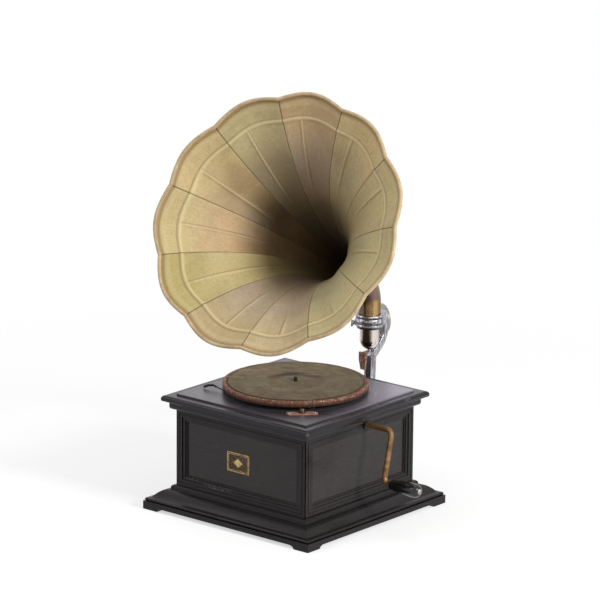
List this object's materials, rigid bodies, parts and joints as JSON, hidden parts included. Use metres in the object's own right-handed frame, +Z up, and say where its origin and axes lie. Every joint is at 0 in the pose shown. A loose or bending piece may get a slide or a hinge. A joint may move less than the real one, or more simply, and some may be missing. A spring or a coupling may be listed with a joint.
{
  "type": "table gramophone",
  "caption": "Table gramophone: square wooden case with a spring motor and crank, turntable, bracketed tonearm with soundbox, and a large petalled flower horn.",
  "frame": {"origin": "middle of the square case on its resting face, under the turntable spindle", "axes": "+Z up along the turntable spindle, -Y out of the front with the name plate, +X towards the crank"},
  "size_m": [0.4986, 0.6137, 0.7694],
  "materials": {
    "ebonised_wood": "satin black-brown stain, worn at the edges",
    "panel_wood": "satin black-brown stain",
    "plate_brass": "pressed brass with a dark field",
    "black_enamel": "black gloss",
    "black_wire": "black, worn",
    "handle_lacquer": "turned wood with gloss black lacquer",
    "rusty_plate": "rusty red-brown plating",
    "steel": "plain machined steel",
    "spring_steel": "blued spring steel",
    "machined_brass": "machined brass",
    "cast_bracket": "cast iron, silver finish, streaked",
    "horn_paint": "khaki paint with fine cloth-like grain",
    "horn_edge": "pinkish tan worn paint",
    "elbow_brass": "dull bronze",
    "nickel": "worn nickel plate",
    "mica": "smoky mica",
    "felt": "olive-grey felt, ring marked",
    "cork": "hard leather",
    "crank_plate": "rusty yellow-brown plating"
  },
  "bodies": {
    "case": {"plinth": "ebonised_wood", "bottom_board": "panel_wood", "wall_front": "ebonised_wood", "wall_right": "ebonised_wood", "wall_back": "ebonised_wood", "wall_left": "ebonised_wood", "case_panels": "panel_wood", "cornice": "ebonised_wood", "motor_board": "ebonised_wood", "name_plate": "plate_brass", "crank_escutcheon": "black_enamel", "speed_scale": "rusty_plate", "speed_scale_screws": "steel", "brake_pivot": "steel", "bracket": "cast_bracket", "bracket_screws": "steel", "collar_screw": "steel", "pivot_screw": "steel", "pivot_plate": "rusty_plate", "motor_top_plate": "steel", "motor_bottom_plate": "steel", "motor_pillars": "steel", "motor_bolts": "steel", "winding_bearing": "steel", "check_spring": "spring_steel", "governor_bearings": "machined_brass", "regulator_pivot": "steel"},
    "horn": {"horn_petals": "horn_paint", "horn_rim": "horn_edge", "horn_ferrule": "elbow_brass", "horn_elbow": "elbow_brass"},
    "tonearm": {"tonearm": "nickel"},
    "gooseneck": {"gooseneck": "nickel", "soundbox_flange": "black_enamel", "soundbox_shell": "nickel", "diaphragm": "mica", "stylus_bar": "nickel", "needle": "steel", "needle_screw": "nickel"},
    "turntable": {"turntable": "rusty_plate", "felt_mat": "felt", "spindle": "steel", "governor_wheel": "machined_brass"},
    "barrel": {"spring_barrel": "machined_brass", "barrel_cover": "machined_brass", "mainspring": "spring_steel"},
    "arbor": {"barrel_arbor": "steel"},
    "middle_wheel": {"middle_wheel": "machined_brass"},
    "governor": {"governor_shaft": "steel", "governor_worm": "steel", "governor_weights": "machined_brass"},
    "speed_control": {"speed_pointer": "machined_brass", "regulator_cam": "steel"},
    "regulator": {"regulator_lever": "steel", "regulator_pad": "cork"},
    "crank": {"winding_shaft": "steel", "crank_rod": "crank_plate"},
    "handle": {"crank_handle": "handle_lacquer"},
    "brake": {"brake_lever": "black_wire", "brake_pad": "cork"}
  },
  "joints": [
    {"name": "horn_turn", "type": "hinge", "parent": "case", "child": "horn", "pos_m": [0, 0.2067, 0.3], "axis": [0, 0, 1], "continuous": true},
    {"name": "tonearm_swing", "type": "hinge", "parent": "case", "child": "tonearm", "pos_m": [0, 0.2067, 0.266], "axis": [0, 0, 1], "range_deg": [0, 180]},
    {"name": "gooseneck_turn", "type": "hinge", "parent": "tonearm", "child": "gooseneck", "pos_m": [0, 0.2067, 0.266], "axis": [0.6626, -0.749, 0], "range_deg": [0, 160]},
    {"name": "turntable_spin", "type": "hinge", "parent": "case", "child": "turntable", "pos_m": [0, 0, 0.225], "axis": [0, 0, 1], "continuous": true},
    {"name": "barrel_spin", "type": "hinge", "parent": "case", "child": "barrel", "pos_m": [0.07, 0.015, 0.115], "axis": [0, 0, 1], "continuous": true},
    {"name": "arbor_wind", "type": "hinge", "parent": "case", "child": "arbor", "pos_m": [0.07, 0.015, 0.166], "axis": [0, 0, 1], "continuous": true},
    {"name": "middle_spin", "type": "hinge", "parent": "case", "child": "middle_wheel", "pos_m": [0.01825, 0.02381, 0.15], "axis": [0, 0, 1], "continuous": true},
    {"name": "governor_spin", "type": "hinge", "parent": "case", "child": "governor", "pos_m": [-0.02354, 0, 0.14], "axis": [0, 1, 0], "continuous": true},
    {"name": "speed_adjust", "type": "hinge", "parent": "case", "child": "speed_control", "pos_m": [0.098, -0.098, 0.214], "axis": [0, 0, 1], "range_deg": [-30, 30]},
    {"name": "regulator_swing", "type": "hinge", "parent": "case", "child": "regulator", "pos_m": [0.06, -0.095, 0.184], "axis": [0, 0, 1], "range_deg": [-2, 2]},
    {"name": "crank_turn", "type": "hinge", "parent": "case", "child": "crank", "pos_m": [0.16, 0.015, 0.178], "axis": [1, 0, 0], "continuous": true},
    {"name": "handle_spin", "type": "hinge", "parent": "crank", "child": "handle", "pos_m": [0.25, -0.00592, 0.08738], "axis": [1, 0, 0], "continuous": true},
    {"name": "brake_swing", "type": "hinge", "parent": "case", "child": "brake", "pos_m": [-0.074, -0.074, 0.216], "axis": [0, 0, 1], "range_deg": [0, 15]}
  ],
  "couplings": [
    {"joint": "barrel_spin", "follows": "turntable_spin", "ratio": 0.041667},
    {"joint": "middle_spin", "follows": "turntable_spin", "ratio": -0.25},
    {"joint": "governor_spin", "follows": "turntable_spin", "ratio": 12},
    {"joint": "regulator_swing", "follows": "speed_adjust", "ratio": 0.0628},
    {"joint": "arbor_wind", "follows": "crank_turn", "ratio": 0.5}
  ]
}
